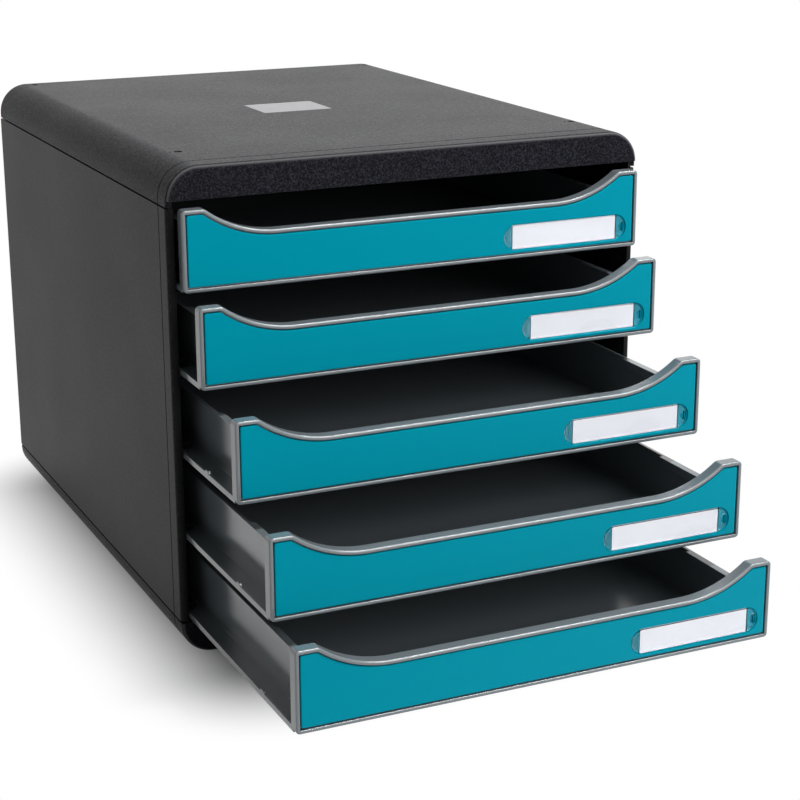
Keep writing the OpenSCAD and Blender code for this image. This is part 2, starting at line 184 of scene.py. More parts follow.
@dataclass(frozen=True)
class Finish:
    """A finish of one of the box's plastics: its colour, gloss and moulded grain.

    Args: name: the material's name; slot: the record's slot, which is not used; colour: linear RGBA; speck:
    how far the colour wanders; roughness and gloss: the shader's; grain: cells a metre; grain_depth: in
    metres;
    mottle: roughness wander; tint: the highlights' colour; sparkle: brightness of the painted glints, light
    bluish specks in the colour where the grain would catch the light; coarse: depth of the slower waviness;
    edge: place along Y and half width of a painted highlight, a lighter band along the rounded front edge;
    clump: cells a metre, brightness and Y reach of the coarser grain's flecks, partly grain and partly
    painted glints, kept off the front and back faces; dust_share, fine_share and wave_share: shares of the
    grain for the finest noise, its depth and the waviness; cloud: cells a metre of the mottle; spark_range
    and
    fleck_range: the noise where specks start and are full.
    """

    name: str
    slot: str
    colour: Colour
    speck: float = 0.1
    roughness: float = 0.5
    gloss: float = 0.5
    grain: float = 900.0
    grain_depth: float = 0.00004
    mottle: float = 0.05
    tint: Colour = (0.8, 0.8, 0.8, 1.0)
    painted_glint: float = 0.0
    coarse: float = 0.0
    edge: Pair | None = None
    grain_glint_flecks: Point | None = None
    dust_share: float = 1.7
    fine_share: float = 0.6
    wave_share: float = 0.3
    cloud: float = 14.0
    spark_range: Pair = (0.44, 0.72)
    spark_blue: float = 1.25
    fleck_range: Pair = (0.42, 0.66)
    fleck_fade: float = 0.0006
    # Colour of the painted highlight along the cover's rounded front edge.
    highlight_colour: Colour = (0.11, 0.11, 0.115, 1.0)

    def shade(self, share: float) -> Colour:
        """The colour made lighter or darker by a share."""
        return tuple(min(1.0, c * (1 + share)) for c in self.colour[:3]) + (1.0,)

    def toned(self, nodes: Surface, source: Node) -> Node:
        """Lets the colour wander with a noise. Returns: the Mix node."""
        tone = nodes.ranged(source, "Fac", *MIDDLE)
        return nodes.blended(tone, self.shade(-self.speck), self.shade(self.speck))

    def coloured(self, nodes: Surface, colour: Node) -> None:
        """Links a Mix node to the shader's colour."""
        nodes.join(colour, COLOUR_OUT, nodes.shader, "Base Color")

    def roughened(self, nodes: Surface, source: Node) -> None:
        """Lets the roughness wander with a noise."""
        low, high = self.roughness - self.mottle, self.roughness + self.mottle
        rough = nodes.ranged(source, "Fac", *MIDDLE, low, high)
        nodes.join(rough, "Result", nodes.shader, "Roughness")

    def bumped(self, nodes: Surface, source: Node) -> None:
        """Lets a noise stand out by the grain's depth."""
        nodes.join(nodes.bump(source, "Fac", self.grain_depth), "Normal", nodes.shader, "Normal")

    def glint_flecked(self, nodes: Surface, colour: Node) -> Node:
        """Adds the coarser grain's flecks, lightened partly as painted glints, as far as they reach along Y,
        which keeps them off the front and back faces. Returns: the Mix node.
        """
        scale, bright, reach = self.grain_glint_flecks
        fleck = nodes.ranged(nodes.noise(scale, 1.0), "Fac", *self.fleck_range)
        share = nodes.math("MULTIPLY", fleck, "Result")
        nodes.join(nodes.band(0.0, reach, reach - self.fleck_fade), "Result", share, 1)
        return nodes.blended(nodes.ranged(share, "Value"), colour, (bright, bright, bright, 1.0))

    def dress(self, nodes: Surface) -> None:
        """Lays colour with its painted glints and painted edge highlight, flecks, roughness and grain on the
        shader.
        """
        nodes.fix("Specular IOR Level", self.gloss)
        nodes.fix("Specular Tint", self.tint)
        dust = nodes.noise(self.grain * self.dust_share, 2.0)
        colour = self.toned(nodes, dust)
        # Painted glints: light, slightly bluish specks in the colour where the grain would catch the light.
        if self.painted_glint:
            spark = nodes.ranged(nodes.noise(self.grain, 1.0), "Fac", *self.spark_range)
            bright = (self.painted_glint, self.painted_glint, self.painted_glint * self.spark_blue, 1.0)
            colour = nodes.blended(spark, colour, bright)
        # Coarser grain flecks, lightened partly as painted glints, only on faces that lie behind the front.
        if self.grain_glint_flecks is not None:
            colour = self.glint_flecked(nodes, colour)
        # Painted highlight: a lighter band in the colour along the rounded front edge, where the lamps'
        # highlight runs.
        if self.edge is not None:
            colour = nodes.blended(nodes.band(*self.edge), colour, self.highlight_colour)
        self.coloured(nodes, colour)
        self.roughened(nodes, nodes.noise(self.cloud, 3.0))
        grain = nodes.bump(nodes.cells(self.grain), "Distance", self.grain_depth)
        fine = nodes.bump(dust, "Fac", self.grain_depth * self.fine_share, grain)
        if self.coarse:
            fine = nodes.bump(nodes.noise(self.grain * self.wave_share, 2.0), "Fac", self.coarse, fine)
        nodes.join(fine, "Normal", nodes.shader, "Normal")


@dataclass(frozen=True)
class BrushedMetal(Finish):
    """Bare metal with fine brushing along X."""

    def dress(self, nodes: Surface) -> None:
        """Lays colour, roughness and brushing on the shader."""
        nodes.fix("Metallic", 1.0)
        lines = nodes.noise(self.grain, 3.0, (0.04, 1.0, 1.0))
        self.coloured(nodes, self.toned(nodes, lines))
        self.roughened(nodes, lines)
        self.bumped(nodes, lines)


@dataclass(frozen=True)
class ClearPlastic(Finish):
    """Clear moulded plastic, very slightly hazy."""

    def dress(self, nodes: Surface) -> None:
        """Makes the shader clear, with a slow waviness."""
        nodes.fix("Transmission Weight", 1.0)
        nodes.fix("IOR", 1.3)
        nodes.fix("Base Color", self.colour)
        wave = nodes.noise(self.grain, 2.0)
        self.roughened(nodes, wave)
        self.bumped(nodes, wave)


@dataclass(frozen=True)
class CardStock(Finish):
    """Smooth white card with a faint fibre."""

    def dress(self, nodes: Surface) -> None:
        """Lays colour and fibre on the shader."""
        nodes.fix("Roughness", self.roughness)
        nodes.fix("Specular IOR Level", self.gloss)
        fibre = nodes.noise(self.grain, 4.0, (0.35, 1.0, 1.0))
        self.coloured(nodes, self.toned(nodes, fibre))
        self.bumped(nodes, fibre)


class Palette(Enum):
    """The finishes of the box."""

    # The cover's edge band is a painted highlight along the rounded front edge; its light specks and flecks
    # are grain partly painted as glints.
    COVER = Finish("cover_grained_plastic", "cover_plastic", linear(19, 19, 23), speck=0.6, roughness=0.38,
                   gloss=0.026, grain=1300.0, grain_depth=0.0001, mottle=0.02, painted_glint=0.026, coarse=0.00012,
                   edge=(-0.1726, 0.0008), grain_glint_flecks=(700.0, 0.045, 0.1718), tint=(0.74, 0.74, 0.745, 1.0))
    # The panel's light specks and flecks are grain partly painted as glints, kept off the front post.
    PANEL = Finish("panel_grained_plastic", "panel_plastic", linear(20, 20, 20), speck=0.3, roughness=0.42,
                   gloss=0.06, grain=1500.0, grain_depth=0.00005, mottle=0.015, painted_glint=0.01, coarse=0.00004,
                   grain_glint_flecks=(700.0, 0.02, 0.1716))
    TRAY = Finish("tray_satin_plastic", "tray_plastic", linear(102, 109, 113), speck=0.05, roughness=0.2,
                  gloss=1.0, grain=2200.0, grain_depth=0.000008, mottle=0.03)
    FRONT = Finish("front_teal_plastic", "front_plastic", linear(0, 129, 149), speck=0.02, roughness=0.2,
                   gloss=0.45, grain=2600.0, grain_depth=0.000003, mottle=0.02, tint=(0.0, 0.64, 0.8, 1.0))
    WINDOW = ClearPlastic("label_clear_plastic", "label_clear", (0.97, 0.985, 0.99, 1.0), roughness=0.05,
                          mottle=0.02, grain=60.0, grain_depth=0.00001)
    CARD = CardStock("label_white_card", "label_paper", linear(230, 229, 235), speck=0.015, roughness=0.7,
                     gloss=0.2, grain=1800.0, grain_depth=0.00001)
    PLATE = BrushedMetal("plate_brushed_metal", "plate_metal", linear(117, 116, 119), speck=0.1,
                         roughness=0.34, grain=2600.0, grain_depth=0.00001, mottle=0.06)
    FEET = Finish("feet_soft_rubber", "feet_rubber", linear(24, 24, 25), speck=0.1, roughness=0.75,
                  gloss=0.3, grain=1500.0, grain_depth=0.00003)

    def paint(self, piece: bpy.types.Object) -> None:
        """Gives a piece this finish. Its material is made at the first use."""
        name = self.value.name
        if name not in bpy.data.materials:
            self.value.dress(Surface(name))
        piece.data.materials.clear()
        piece.data.materials.append(bpy.data.materials[name])


# ---- modelling by operator


def rounded(corners: Sequence[Point], steps: int = 4) -> Section:
    """An open section drawn through corners, each rounded with its own radius.

    Args: corners: (inward, back, radius); steps: pieces of each round. Returns: the section's points.
    """
    points: Section = []
    for i, (x, y, radius) in enumerate(corners):
        here = Vector((x, y))
        if radius <= 0 or i in (0, len(corners) - 1):
            points.append((x, y))
            continue
        before = (Vector(corners[i - 1][:2]) - here).normalized()
        after = (Vector(corners[i + 1][:2]) - here).normalized()
        half = before.angle(after) / 2
        reach = radius / math.tan(half)
        centre = here + (before + after).normalized() * (radius / math.sin(half))
        start, end = here + before * reach - centre, here + after * reach - centre
        for k in range(steps + 1):
            spoke = start.lerp(end, k / steps).normalized() * radius
            points.append(tuple(centre + spoke))
    return points


class Workpiece:
    """A mesh that is shaped as by hand, with primitives, edit mode operators and applied modifiers."""

    def __init__(self, name: str) -> None:
        """Names the piece; its first primitive makes the object."""
        self.name = name
        self.obj: bpy.types.Object | None = None

    # selection

    @staticmethod
    def clear() -> None:
        """Leaves edit mode and deselects every object."""
        if bpy.context.mode == "EDIT_MESH":
            bpy.ops.object.mode_set(mode="OBJECT")
        bpy.ops.object.select_all(action="DESELECT")

    def leave(self) -> None:
        """Goes back to object mode with only this piece selected."""
        self.clear()
        self.obj.select_set(True)
        bpy.context.view_layer.objects.active = self.obj

    def edit(self) -> bmesh.types.BMesh:
        """Opens the piece alone in edit mode. Returns: its edit mesh."""
        if bpy.context.edit_object is not self.obj:
            self.leave()
            bpy.ops.object.mode_set(mode="EDIT")
        return bmesh.from_edit_mesh(self.obj.data)

    def only(self, kind: str) -> bmesh.types.BMesh:
        """Deselects everything in edit mode and sets what is picked. Args: kind: VERT, EDGE or FACE."""
        mesh = self.edit()
        bpy.ops.mesh.select_mode(type=kind)
        bpy.ops.mesh.select_all(action="DESELECT")
        return mesh

    def pick(self, items: str, test: Callable[..., bool]) -> None:
        """Selects what passes a test. Args: items: verts, edges or faces; test: of one of them."""
        mesh = self.only(items[:-1].upper())
        for item in [item for item in getattr(mesh, items) if test(item)]:
            item.select_set(True)
        bmesh.update_edit_mesh(self.obj.data)

    def pick_faces(self, test: Callable[[Vector, Vector], bool]) -> None:
        """Selects faces by centre, in mm, and normal."""
        self.pick("faces", lambda f: test(f.calc_center_median() / MM, f.normal))

    def pick_edges(self, test: Callable[[Vector, Vector], bool]) -> None:
        """Selects edges by their two ends, in mm."""
        self.pick("edges", lambda e: test(e.verts[0].co / MM, e.verts[1].co / MM))

    def pick_points(self, test: Callable[[Vector], bool]) -> None:
        """Selects vertices by place, in mm."""
        self.pick("verts", lambda v: test(v.co / MM))

    def pick_all(self) -> None:
        """Selects the whole mesh."""
        self.edit()
        bpy.ops.mesh.select_all(action="SELECT")

    # primitives

    def rename(self, name: str) -> None:
        """Names the piece, its object and its mesh."""
        self.name = self.obj.name = self.obj.data.name = name

    def took(self) -> Self:
        """Takes a new primitive as this piece, its place applied to its mesh. Returns: the piece."""
        self.obj = bpy.context.object
        self.rename(self.name)
        bpy.ops.object.transform_apply(location=True, rotation=True, scale=True)
        return self

    def box(self, low: Point, high: Point) -> Self:
        """Adds a box between two corners, in mm. Returns: the piece."""
        low_m, high_m = Vector(low) * MM, Vector(high) * MM
        middle, size = (low_m + high_m) / 2, high_m - low_m
        if self.obj is None:
            self.clear()
            bpy.ops.mesh.primitive_cube_add(size=1, location=middle, scale=size)
            return self.took()
        self.only("VERT")
        bpy.ops.mesh.primitive_cube_add(size=1, location=middle)
        bpy.ops.transform.resize(value=size, center_override=middle)
        return self

    def twins(self, low: Point, high: Point) -> None:
        """Adds a box and its mirror image in X."""
        self.box(low, high)
        self.box((-high[0], *low[1:]), (-low[0], *high[1:]))

    def disc(self, centre: Point, radius: float, length: float, axis: str, sides: int = 32) -> Self:
        """Adds a cylinder round an axis. Args: centre: in mm; axis: Y or Z. Returns: the piece."""
        first = self.obj is None
        if first:
            self.clear()
        else:
            self.only("VERT")
        bpy.ops.mesh.primitive_cylinder_add(vertices=sides, radius=radius * MM, depth=length * MM,
                                            location=Vector(centre) * MM,
                                            rotation=(math.pi / 2, 0, 0) if axis == "Y" else (0, 0, 0))
        return self.took() if first else self

    def chain(self, start: Point, steps: Sequence[Point]) -> Self:
        """Makes a chain of edges from one vertex by extruding it step by step. Returns: the piece."""
        self.clear()
        bpy.ops.mesh.primitive_plane_add(size=2 * MM)
        self.took()
        self.pick_points(lambda p: p.x > 0 or p.y > 0)
        self.drop("VERT")
        self.pick_all()
        self.move(*(Vector(start) + Vector((1, 1, 0))))
        for step in steps:
            self.extrude(*step)
        return self

    # shaping what is picked

    def extrude(self, x: float = 0, y: float = 0, z: float = 0) -> None:
        """Extrudes the pick by a step in mm."""
        bpy.ops.mesh.extrude_region_move(TRANSFORM_OT_translate={"value": Vector((x, y, z)) * MM})

    def push(self, depth: float) -> None:
        """Extrudes picked faces along their normals by a depth in mm."""
        bpy.ops.mesh.extrude_region_shrink_fatten(TRANSFORM_OT_shrink_fatten={"value": depth * MM})

    def move(self, x: float = 0, y: float = 0, z: float = 0) -> None:
        """Moves the pick by a step in mm."""
        bpy.ops.transform.translate(value=Vector((x, y, z)) * MM)

    def bevel(self, width: float, segments: int) -> None:
        """Rounds picked edges to a width in mm."""
        bpy.ops.mesh.bevel(offset=width * MM, offset_type="OFFSET", segments=segments, profile=0.5,
                           affect="EDGES", clamp_overlap=True)

    def cut(self, **planes: Sequence[float]) -> None:
        """Cuts the mesh along planes square to an axis. Args: planes: places along x, y or z, in mm."""
        for axis, places in planes.items():
            normal = Vector([float(axis == a) for a in "xyz"])
            for place in places:
                self.pick_all()
                bpy.ops.mesh.bisect(plane_co=normal * place * MM, plane_no=normal)

    def spin(self, centre: Pair, angle: float, steps: int) -> None:
        """Spins the pick round an axis along Y. Args: centre: (x, z) in mm; angle: degrees, from Z to X."""
        bpy.ops.mesh.spin(steps=steps, angle=-math.radians(angle), axis=(0, 1, 0),
                          center=(centre[0] * MM, 0, centre[1] * MM))

    def drop(self, kind: str = "FACE") -> None:
        """Deletes the pick."""
        bpy.ops.mesh.delete(type=kind)

    def tidy(self) -> None:
        """Merges doubled points and turns every face outwards."""
        self.pick_all()
        bpy.ops.mesh.remove_doubles(threshold=MERGE * MM)
        bpy.ops.mesh.normals_make_consistent(inside=False)

    # modifiers and other pieces

    def modify(self, kind: str, **settings: object) -> None:
        """Adds a modifier and applies it. Args: kind: its type; settings: its properties."""
        self.leave()
        modifier = self.obj.modifiers.new(kind.lower(), kind)
        for key, value in settings.items():
            setattr(modifier, key, value)
        bpy.ops.object.modifier_apply(modifier=modifier.name)

    def soften(self, width: float, angle: float) -> None:
        """Rounds every sharp edge a little. Args: width: in mm; angle: what counts as sharp, in degrees."""
        self.modify("BEVEL", width=width * MM, segments=2, limit_method="ANGLE",
                    angle_limit=math.radians(angle), use_clamp_overlap=True, miter_outer="MITER_ARC")

    def combine(self, other: "Workpiece", operation: str) -> None:
        """Applies another piece as a boolean and removes it. Args: operation: DIFFERENCE or UNION."""
        other.tidy()
        self.modify("BOOLEAN", object=other.obj, operation=operation, solver="EXACT")
        other.discard()

    def carve(self, cutter: "Workpiece") -> None:
        """Cuts another piece's shape out of this one and removes that piece."""
        self.combine(cutter, "DIFFERENCE")

    def take(self, other: "Workpiece") -> None:
        """Joins another piece's mesh into this one."""
        self.leave()
        other.obj.select_set(True)
        bpy.ops.object.join()

    def copy(self, name: str, matrix: Matrix) -> "Workpiece":
        """Copies the piece with its own mesh, which is turned, mirrored or moved. Returns: the copy."""
        self.leave()
        bpy.ops.object.duplicate()
        other = Workpiece(name)
        other.obj = bpy.context.object
        other.rename(name)
        other.obj.data.transform(matrix)
        return other

    def discard(self) -> None:
        """Removes the piece."""
        self.leave()
        bpy.ops.object.delete()

    def hand_over(self, finish: Palette, body: str, node: str) -> None:
        """Shades and paints the piece. Args: body: what it rides on; node: the CAD node it stands for."""
        self.tidy()
        self.leave()
        bpy.ops.object.shade_smooth_by_angle(angle=math.radians(SMOOTH_ANGLE))
        self.modify("WEIGHTED_NORMAL", keep_sharp=True, weight=50)
        finish.paint(self.obj)
        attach(self.obj, body)
        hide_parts(node)
        LOG.info("%s: %d faces, rides on %s", self.name, len(self.obj.data.polygons), body)


# ---- cabinet


@dataclass
class CabinetSizes:
    """The cabinet's sizes in millimetres, as the CAD has them."""

    width: float = 278.0
    depth: float = 347.0
    height: float = 271.0
    foot: float = 3.0
    top_cap: float = 20.8
    base_cap: float = 18.6
    edge_r: float = 18.0
    skin: float = 2.0
    front_wall: float = 3.0
    front_rise: float = 3.2
    front_r: float = 2.6
    rear_r: float = 1.0
    groove_back: float = 14.3
    groove: float = 1.0
    groove_depth: float = 0.6
    reveal: float = 1.0

    @property
    def side(self) -> float:
        """Half the width."""
        return self.width / 2

    @property
    def back(self) -> float:
        """Half the depth."""
        return self.depth / 2

    @property
    def panel_low(self) -> float:
        """A side panel's lower edge."""
        return self.foot + self.base_cap + self.reveal

    @property
    def panel_high(self) -> float:
        """A side panel's upper edge."""
        return self.height - self.top_cap - self.reveal


@dataclass
class Cover:
    """A cover moulding: flat face, round long edges, short skirts, a front wall and four sockets."""

    sizes: CabinetSizes
    socket_dx: float = 238.6
    socket_dy: float = 294.0
    socket_shift: float = 2.2
    socket_y: float = 18.0
    socket_r: float = 2.3
    socket_depth: float = 8.0
    cup_wall: float = 1.9
    cup_z: Pair = (9.0, 1.0)
    dot_r: float = 0.75
    rib_x: Pair = (7.5, 5.5)
    rib_z: Pair = (0.2, 5.4)
    rib_end: float = 6.0
    seat_x: float = 14.0
    seat_y: Pair = (6.0, 4.0)
    seat_z: Pair = (7.0, 1.2)
    plate: Point = (44.0, 37.0, 1.5)
    plate_at: Pair = (-4.0, -2.0)
    plate_depth: float = 0.6
    plate_t: float = 0.5
    round_steps: int = 16
    soft: float = 0.22

    def shell(self, low: float) -> Workpiece:
        """Makes the hollow shell, open below and behind. Args: low: its lower edge. Returns: the piece."""
        s = self.sizes
        shell = Workpiece("cover").box((-s.side, -s.back, low), (s.side, s.back, s.height))
        shell.pick_edges(lambda a, b: min(a.z, b.z) > s.height - CLOSE
                         and abs(a.x) > s.side - CLOSE and abs(a.x - b.x) < CLOSE)
        shell.bevel(s.edge_r, self.round_steps)
        for face, radius, steps in ((-1, s.front_r, 4), (1, s.rear_r, 3)):
            shell.pick_edges(lambda a, b: min(face * a.y, face * b.y) > s.back - CLOSE
                             and max(a.z, b.z) > low + CLOSE)
            shell.bevel(radius, steps)
        groove_y = s.groove_back - s.back
        shell.cut(y=[groove_y - s.groove / 2, groove_y + s.groove / 2])
        shell.pick_faces(lambda c, n: n.z < -0.9 or n.y > 0.98)
        shell.drop()
        shell.modify("SOLIDIFY", thickness=s.skin * MM, offset=-1, use_even_offset=True, use_rim=True)
        shell.pick_faces(lambda c, n: abs(c.y - groove_y) < s.groove / 2 and self.outside(c, n))
        shell.push(-s.groove_depth)
        return shell

    def outside(self, centre: Vector, normal: Vector) -> bool:
        """Whether a face of the shell is on its outside."""
        s = self.sizes
        reach = s.side - s.edge_r
        core = Vector((max(-reach, min(reach, centre.x)), centre.y, s.height - s.edge_r))
        return (centre - core).dot(normal) > 0.5 and (centre - core).length > s.edge_r - s.skin / 2

    def sockets(self, shell: Workpiece) -> None:
        """Adds the four sockets' cups under the flat face and opens the sockets and the dots."""
        s = self.sizes
        places = [(x * self.socket_dx / 2, y * self.socket_dy / 2 + self.socket_y)
                  for x in (-1, 1) for y in (-1, 1)]
        cups, holes = Workpiece("cups"), Workpiece("holes")
        cup_low, cup_high = self.cup_z
        for x, y in places:
            cups.disc((x + self.socket_shift, y, s.height - (cup_low + cup_high) / 2),
                      self.socket_r + self.cup_wall, cup_low - cup_high, "Z")
            holes.disc((x + self.socket_shift, y, s.height - self.socket_depth / 2 + 1), self.socket_r,
                       self.socket_depth + 2, "Z")
            holes.disc((x - self.socket_shift, y, s.height), self.dot_r, 2.0, "Z", 16)
        shell.combine(cups, "UNION")
        shell.carve(holes)

    def front_wall(self, shell: Workpiece, low: float, rise: float) -> None:
        """Cuts the front wall's lower edge up by a rise and thickens the wall from inside."""
        s = self.sizes
        if rise > 0:
            shell.carve(Workpiece("cutaway").box((-s.side - 1, -s.back - 1, low - 1),
                                                 (s.side + 1, s.front_wall - s.back, low + rise)))
        edge = s.skin - 0.3
        wall = Workpiece("wall").box((edge - s.side, 1 - s.back, low + rise),
                                     (s.side - edge, s.front_wall - s.back, s.height - edge))
        wall.pick_edges(lambda a, b: min(a.z, b.z) > s.height - edge - CLOSE and abs(a.x - b.x) < CLOSE)
        wall.bevel(s.edge_r - edge, self.round_steps)
        shell.take(wall)

    def ribs(self, shell: Workpiece, low: float) -> None:
        """Adds the long ribs that grip the side panels and the seat of the back panel."""
        s = self.sizes
        shell.twins((s.side - self.rib_x[0], s.groove_back - s.back, low + self.rib_z[0]),
                    (s.side - self.rib_x[1], s.back - self.rib_end, s.height - self.rib_z[1]))
        shell.box((self.seat_x - s.side, s.back - self.seat_y[0], s.height - self.seat_z[0]),
                  (s.side - self.seat_x, s.back - self.seat_y[1], s.height - self.seat_z[1]))

    def build(self, node: str, top: bool) -> None:
        """Makes one cover in its place. Args: node: its CAD node; top: not turned over as the base."""
        s = self.sizes
        low = s.height - (s.top_cap if top else s.base_cap)
        shell = self.shell(low)
        self.sockets(shell)
        if top:
            shell.carve(self.plate_block("recess", s.height - self.plate_depth, s.height + 1, 4))
        self.front_wall(shell, low, s.front_rise if top else 0.0)
        self.ribs(shell, low)
        shell.soften(self.soft, 50)
        if not top:
            upright = Matrix.Translation((0, 0, (s.height + s.foot) * MM))
            shell.obj.data.transform(upright @ Matrix.Rotation(math.pi, 4, "Y"))
        shell.rename(f"{node}_moulding")
        shell.hand_over(Palette.COVER, "cabinet", node)

    def plate_block(self, name: str, low: float, high: float, segments: int) -> Workpiece:
        """A block with the plate's outline between two heights. Returns: the piece."""
        (width, depth, corner), (x, y) = self.plate, self.plate_at
        block = Workpiece(name).box((x - width / 2, y - depth / 2, low), (x + width / 2, y + depth / 2, high))
        block.pick_edges(lambda a, b: abs(a.z - b.z) > 0.3)
        block.bevel(corner, segments)
        return block

    def build_plate(self) -> None:
        """Makes the bare metal plate in its recess."""
        low = self.sizes.height - self.plate_depth
        plate = self.plate_block("top_plate_bare", low, low + self.plate_t, 5)
        plate.pick_edges(lambda a, b: min(a.z, b.z) > low + self.plate_t / 2)
        plate.bevel(0.2, 3)
        plate.hand_over(Palette.PLATE, "cabinet", "top_plate")


@dataclass
class SidePanel:
    """A side panel: bevelled outer wall, front post, tongues, five drawers' rails and stop tabs."""

    sizes: CabinetSizes
    drawer_z: Sequence[float]
    wall: float = 3.0
    post: float = 4.0
    post_r: float = 3.0
    front_step: float = 1.5
    chamfer: float = 1.7
    rail_x: float = 126.0
    guide_x: float = 128.2
    slide_gap: float = 0.3
    rail: float = 2.2
    guide_z: float = 5.2
    guide: float = 1.8
    rail_ends: Pair = (7.5, 7.0)
    root: float = 0.4
    tongue: Pair = (5.5, 3.5)
    tongue_roots: tuple[Pair, Pair] = ((-4.0, -0.3), (0.3, 0.9))
    tongue_reach: float = 7.0
    lip_gap: float = 0.2
    lip_over: float = 0.8
    stop: Point = (2.6, 4.0, 3.6)
    seat: Point = (5.0, 6.0, 4.0)
    soft: float = 0.25

    def build(self) -> None:
        """Makes the right panel, with a lip behind the cover's front wall, and mirrors it as the left one."""
        s = self.sizes
        front = self.front_step - s.back
        post_end = s.groove_back - s.back
        low, high = s.panel_low, s.panel_high
        panel = Workpiece("panel").box((s.side - self.wall, front, low), (s.side, s.back, high))
        panel.cut(y=[post_end])
        panel.pick_faces(lambda c, n: n.x < -0.9 and c.y < post_end)
        panel.extrude(x=self.wall - self.post)
        panel.pick_edges(lambda a, b: min(a.x, b.x) > s.side - CLOSE and max(a.y, b.y) < front + CLOSE)
        panel.bevel(self.post_r, 6)
        round_x = s.side - self.post_r
        for edge in (low, high):
            panel.pick_edges(lambda a, b: max(abs(a.z - edge), abs(b.z - edge)) < CLOSE
                             and min(a.x, b.x) > round_x - CLOSE and max(a.x, b.x) > round_x + CLOSE
                             and max(a.y, b.y) > front - CLOSE and min(a.y, b.y) < s.back - CLOSE)
            panel.bevel(self.chamfer, 1)
        panel.cut(y=[post_end - s.groove / 2, post_end + s.groove / 2])
        panel.pick_faces(lambda c, n: n.x > 0.5 and abs(c.y - post_end) < s.groove / 2)
        panel.push(-s.groove_depth)
        self.rails(panel)
        panel.box((s.side - self.post, s.front_wall + self.lip_gap - s.back, high - 1),
                  (s.side - s.skin - self.slide_gap, post_end, high + s.front_rise + self.lip_over))
        panel.soften(self.soft, 40)
        left = panel.copy("left_side_panel_moulding", Matrix.Diagonal((-1, 1, 1, 1)))
        left.hand_over(Palette.PANEL, "cabinet", "left_side_panel")
        panel.rename("right_side_panel_moulding")
        panel.hand_over(Palette.PANEL, "cabinet", "right_side_panel")

    def rails(self, panel: Workpiece) -> None:
        """Adds the tongues, the rails with their guides and stop tabs, and the back panel's seat."""
        s = self.sizes
        inner = s.side - self.wall + self.root
        front, rear = self.rail_ends[0] - s.back, s.back - self.rail_ends[1]
        deep, shallow = (s.side - edge for edge in self.tongue)
        start, end = s.groove_back - s.back, s.back - self.seat[1]
        for edge, (low, high), tip in zip((s.panel_high, s.panel_low), self.tongue_roots,
                                          (self.tongue_reach, -self.tongue_reach)):
            panel.box((deep, start, edge + low), (inner, end, edge + high))
            panel.box((deep, start, edge + min(tip, high)), (shallow, end, edge + max(tip, high)))
        stop, stop_l, stop_z = self.stop
        for z in self.drawer_z:
            rail_low = max(z - self.slide_gap - self.rail, s.panel_low)
            panel.box((self.rail_x, front, rail_low), (inner, rear, z - self.slide_gap))
            panel.box((self.guide_x, front, z + self.guide_z), (inner, rear, z + self.guide_z + self.guide))
            panel.box((self.guide_x, front, z + stop_z),
                      (self.guide_x + stop, front + stop_l, z + self.guide_z + self.root))
        panel.box((s.side - self.wall - self.seat[0], end, s.panel_low + self.slide_gap),
                  (inner, s.back - self.seat[2], s.panel_high - self.slide_gap))


# ---- drawers


@dataclass
class DrawerSizes:
    """A drawer's sizes in millimetres, as the CAD has them; y runs back from its front."""

    width: float = 268.4
    height: float = 43.0
    frame: float = 7.0
    length: float = 336.0
    scoop_half: float = 82.0
    scoop_r: float = 64.5
    shoulder_r: float = 4.0
    corner_r: float = 2.2
    wall_h: float = 30.2
    wall_x: float = 123.7
    rim: float = 2.0
    rim_rounds: Point = (0.35, 0.9, 0.3)
    web_y: float = 2.9
    web: float = 2.0
    insert_gap: float = 0.7
    insert_y: float = 0.4
    insert: float = 2.5
    insert_turn: float = 0.8
    insert_rounds: Pair = (0.5, 0.2)
    label: Pair = (77.0, 14.0)
    label_at: Pair = (88.7, 11.7)

    @property
    def side(self) -> float:
        """Half the width."""
        return self.width / 2

    @property
    def shoulder(self) -> Pair:
        """Centre of the small shoulder's round, (x, z)."""
        return self.scoop_half + RAMP[0] * (self.scoop_r + self.shoulder_r), self.height - self.shoulder_r

    @property
    def sweep(self) -> Pair:
        """Centre of the scoop's sweeping end, (x, z)."""
        return self.scoop_half, self.shoulder[1] + RAMP[1] * (self.scoop_r + self.shoulder_r)


